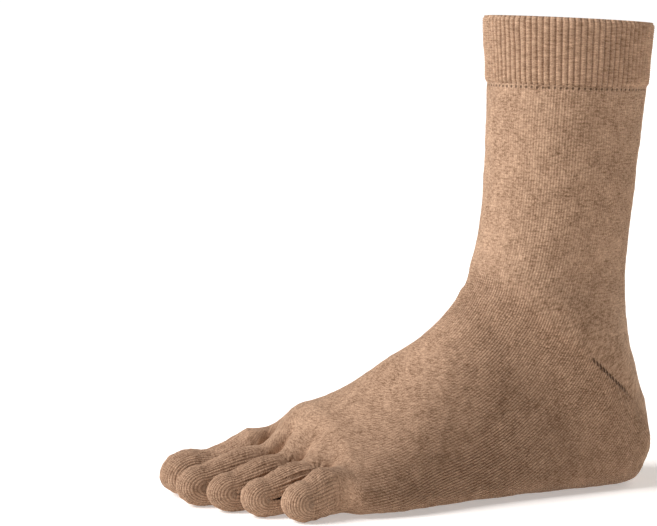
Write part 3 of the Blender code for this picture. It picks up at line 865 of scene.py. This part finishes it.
def knit_material(name, colour, flecks, mottle, groove_shade, stitch_depth, ribbed, eyelets, groups):
    """Heather knit: yarn colour, stitches, painted shade in the grooves and creases, and soft fuzz from
    sheen.
    """
    material = bpy.data.materials.new(name)
    material.use_nodes = True
    tree = material.node_tree
    chain = NodeChain(tree)
    shader = tree.nodes["Principled BSDF"]
    knit = chain.add("ShaderNodeUVMap", uv_map="knit").outputs[0]
    place = chain.add("ShaderNodeTexCoord").outputs["Object"]
    relief = chain.add("ShaderNodeAttribute", attribute_name="relief").outputs["Fac"]
    painted_crease_shade = chain.add("ShaderNodeAttribute", attribute_name="painted_crease_shade").outputs["Fac"]
    yarn = place_group(chain, groups["yarn"], Knit=knit, Place=place, Colour=colour,
                       Flecks=flecks, Mottle=mottle)
    if ribbed:
        stitch = place_group(chain, groups["rib"], Knit=knit)
    else:
        stitch = place_group(chain, groups["stitch"], Knit=knit, Relief=relief)
    # Painted shade: deep is the colour the yarn darkens to in the grooves, by the groove mask and
    # groove_shade, and at the painted crease shade
    deep = chain.mix_colour(1.0, colour, (0.30, 0.25, 0.22, 1), "MULTIPLY")
    shade = chain.math("MULTIPLY", stitch["Groove"], groove_shade)
    shaded_yarn = chain.mix_colour(shade, yarn["Colour"], deep)
    shaded_yarn = chain.mix_colour(chain.math("MULTIPLY", painted_crease_shade, 0.75), shaded_yarn, deep)
    height = chain.math("ADD", stitch["Height"], chain.math("MULTIPLY", yarn["Fleck"], 0.6))
    if eyelets:
        along = chain.add("ShaderNodeAttribute", attribute_name="gore_along").outputs["Fac"]
        across = chain.add("ShaderNodeAttribute", attribute_name="gore_across").outputs["Fac"]
        gore = place_group(chain, groups["eyelet"], Along=along, Across=across, Pitch=gore_eyelet_pitch,
                           Size=gore_eyelet_size, Reach=11.0, Fade=10.0)
        below = chain.add("ShaderNodeAttribute", attribute_name="cuff_below").outputs["Fac"]
        split = chain.add("ShaderNodeSeparateXYZ")
        chain.feed(split.inputs[0], knit)
        round_leg = chain.math("MULTIPLY", split.outputs[0], wale_width)
        cuff = place_group(chain, groups["eyelet"], Along=round_leg,
                           Across=chain.math("SUBTRACT", below, cuff_eyelet_below),
                           Pitch=cuff_eyelet_pitch, Size=cuff_eyelet_size, Reach=400.0, Fade=9.0)
        # Painted shade: the eyelet holes and the gore's ladder line are painted dark as the shade in them,
        # and pressed in by the bump
        hole = chain.math("MAXIMUM", gore["Hole"], chain.math("MULTIPLY", cuff["Hole"], 0.8))
        ladder = chain.math("MAXIMUM", chain.math("MULTIPLY", gore["Line"], 0.22), hole)
        shaded_yarn = chain.mix_colour(chain.math("MULTIPLY", ladder, 0.9), shaded_yarn,
                                  chain.mix_colour(1.0, colour, (0.13, 0.10, 0.09, 1), "MULTIPLY"))
        height = chain.math("SUBTRACT", height, chain.math("MULTIPLY", ladder, 2.0))
    bump = chain.add("ShaderNodeBump")
    bump.inputs["Strength"].default_value = 0.8
    bump.inputs["Distance"].default_value = stitch_depth
    chain.feed(bump.inputs["Height"], height)
    chain.feed(shader.inputs["Normal"], bump.outputs[0])
    chain.feed(shader.inputs["Base Color"], shaded_yarn)
    shader.inputs["Roughness"].default_value = 0.95
    shader.inputs["Specular IOR Level"].default_value = 0.15
    shader.inputs["Sheen Weight"].default_value = 0.40
    shader.inputs["Sheen Roughness"].default_value = 0.35
    shader.inputs["Sheen Tint"].default_value = (1.0, 0.80, 0.62, 1)
    return material


# Knits: colour, flecks, mottle, painted groove shade, stitch depth, ribbed, eyelets
knits = {
    "cuff": ((0.455, 0.290, 0.187, 1), 0.9, 0.7, 0.55, 0.00028, True, False),
    "leg": ((0.375, 0.236, 0.150, 1), 1.1, 1.0, 0.50, 0.00018, False, True),
    "heel": ((0.375, 0.232, 0.146, 1), 1.2, 1.0, 0.75, 0.00022, False, True),
    "foot": ((0.375, 0.232, 0.146, 1), 1.2, 1.0, 0.75, 0.00022, False, True),
    "toe": ((0.395, 0.245, 0.156, 1), 1.0, 0.9, 0.60, 0.00022, False, False),
}


def add_lights():
    """A soft key from the toes' side, a low rim lamp behind the heel, and a white studio, dimmer overhead."""
    lamps = [
        # name, sideways and forward direction to the lamp, height in degrees, softness, strength, colour
        ("key_lamp", (-0.995, 0.099), 40, 35, 4.0, (1.0, 1.01, 1.04)),
        ("rim_lamp", (0.90, 0.44), 25, 40, 1.1, (1.0, 0.95, 0.88)),
    ]
    for name, toward, raised, softness, strength, colour in lamps:
        lamp = bpy.data.lights.new(name, "SUN")
        lamp.energy = strength
        lamp.angle = math.radians(softness)
        lamp.color = colour
        item = bpy.data.objects.new(name, lamp)
        item.rotation_euler = (math.radians(90 - raised), 0.0, math.atan2(toward[0], -toward[1]))
        bpy.context.scene.collection.objects.link(item)
    world = bpy.data.worlds.new("white_studio")
    world.use_nodes = True
    chain = NodeChain(world.node_tree)
    split = chain.add("ShaderNodeSeparateXYZ")
    chain.feed(split.inputs[0], chain.add("ShaderNodeTexCoord").outputs["Generated"])
    background = world.node_tree.nodes["Background"]
    overhead = chain.ramp(split.outputs[2], 0.02, 0.20)
    chain.feed(background.inputs[0], chain.mix_colour(overhead, (1.0, 1.0, 1.0, 1), (1.0, 0.86, 0.74, 1)))
    chain.feed(background.inputs[1], chain.ramp(split.outputs[2], 0.02, 0.20, 1.05, 0.12))
    bpy.context.scene.world = world


def add_floor():
    """A plain white floor."""
    mesh = bpy.data.meshes.new("floor")
    size = 30.0
    up = floor_up - 0.0001
    corners = [(-size, -size, up), (size, -size, up), (size, size, up), (-size, size, up)]
    mesh.from_pydata(corners, [], [(0, 1, 2, 3)])
    floor = bpy.data.objects.new("floor", mesh)
    bpy.context.scene.collection.objects.link(floor)
    material = bpy.data.materials.new("white_floor")
    material.use_nodes = True
    shader = material.node_tree.nodes["Principled BSDF"]
    shader.inputs["Base Color"].default_value = (0.92, 0.88, 0.84, 1)
    shader.inputs["Roughness"].default_value = 0.9
    shader.inputs["Emission Color"].default_value = (1, 1, 1, 1)
    shader.inputs["Emission Strength"].default_value = 0.36
    mesh.materials.append(material)


def add_camera():
    camera = bpy.data.cameras.new("camera")
    camera.sensor_width = 36.0
    camera.sensor_fit = "HORIZONTAL"
    camera.lens = 120.55
    camera.clip_end = 200.0
    item = bpy.data.objects.new("camera", camera)
    item.location = (-0.5004, -1.0042, 0.2365)
    item.rotation_euler = (math.pi / 2 - math.atan2(245, 2200), 0.0, -math.atan2(0.353, 0.9356))
    bpy.context.scene.collection.objects.link(item)
    bpy.context.scene.camera = item


def build_sock():
    groups = {"yarn": yarn_group(), "stitch": stitch_group(), "rib": rib_group(), "eyelet": eyelet_group()}
    cloth = {name: knit_material(name + "_knit", *values, groups) for name, values in knits.items()}
    leg, heel, foot_cut, surface, course_start = build_tube()
    foot, toe_pieces = build_foot_and_toes(foot_cut, surface, course_start)
    cuff = build_cuff()
    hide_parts("leg")
    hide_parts("heel")
    for piece, name in ((cuff, "cuff"), (leg, "leg"), (heel, "heel"), (foot, "foot")):
        piece.data.materials.append(cloth[name])
    for piece in toe_pieces:
        piece.data.materials.append(cloth["toe"])


add_camera()
add_lights()
add_floor()
build_sock()
bpy.context.scene.view_settings.view_transform = "Standard"
